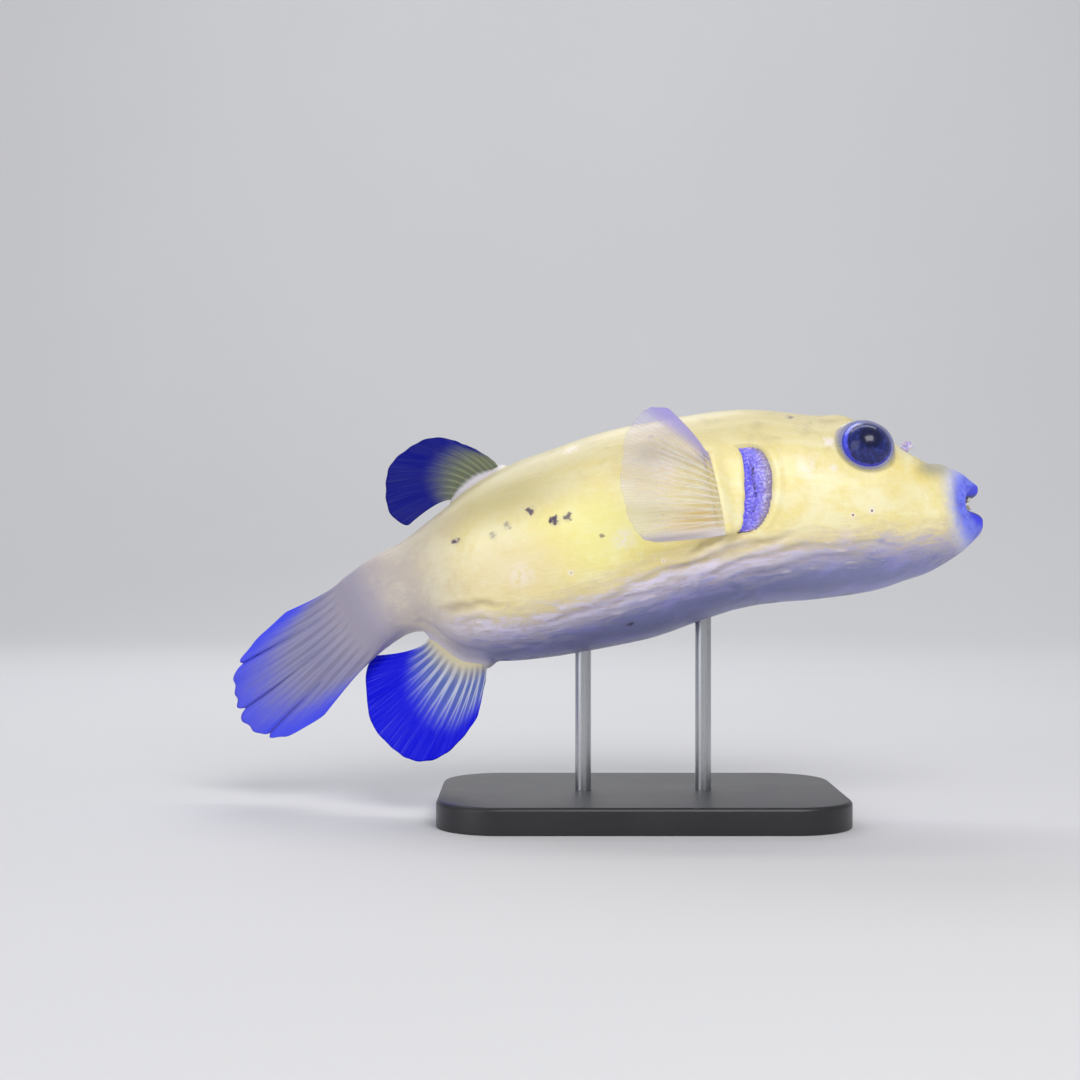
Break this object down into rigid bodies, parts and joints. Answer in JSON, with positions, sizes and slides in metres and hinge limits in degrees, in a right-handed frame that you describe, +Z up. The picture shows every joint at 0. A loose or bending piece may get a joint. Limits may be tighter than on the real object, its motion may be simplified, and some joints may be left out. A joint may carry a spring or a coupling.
{
  "type": "golden puffer fish on a display stand",
  "caption": "Life-size still model of a golden puffer swimming with its tail dropped, held over a flat base by two short rods.",
  "frame": {"origin": "middle of the underside of the stand's base", "axes": "+Z is up, +X is the way the fish's head points, and its right side faces -Y"},
  "size_m": [0.2492, 0.1066, 0.1314],
  "materials": {
    "skin_gold": "satin, finely wrinkled golden skin, lilac on the belly",
    "skin_lilac": "satin, smooth pale lilac flesh",
    "fin_blue": "satin membrane, pale rays and a deep blue margin",
    "fin_lilac": "satin, thin lilac membrane with paler rays",
    "eye": "clear gloss over dark blue",
    "gill": "moist violet blue membrane",
    "tooth": "smooth ivory",
    "stand_black": "fine satin black paint",
    "stand_steel": "brushed along the rod"
  },
  "bodies": {
    "root": {"head": "skin_gold", "trunk": "skin_gold", "tail_stock": "skin_gold", "eye_right": "eye", "eye_left": "eye", "gill_right": "gill", "gill_left": "gill", "nostril_right": "skin_lilac", "nostril_left": "skin_lilac", "teeth_upper": "tooth", "teeth_lower": "tooth", "fin_dorsal": "fin_blue", "fin_anal": "fin_blue", "fin_caudal": "fin_blue", "fin_pectoral_right": "fin_lilac", "fin_pectoral_left": "fin_lilac", "stand_base": "stand_black", "stand_rod_front": "stand_steel", "stand_rod_rear": "stand_steel"}
  },
  "joints": []
}
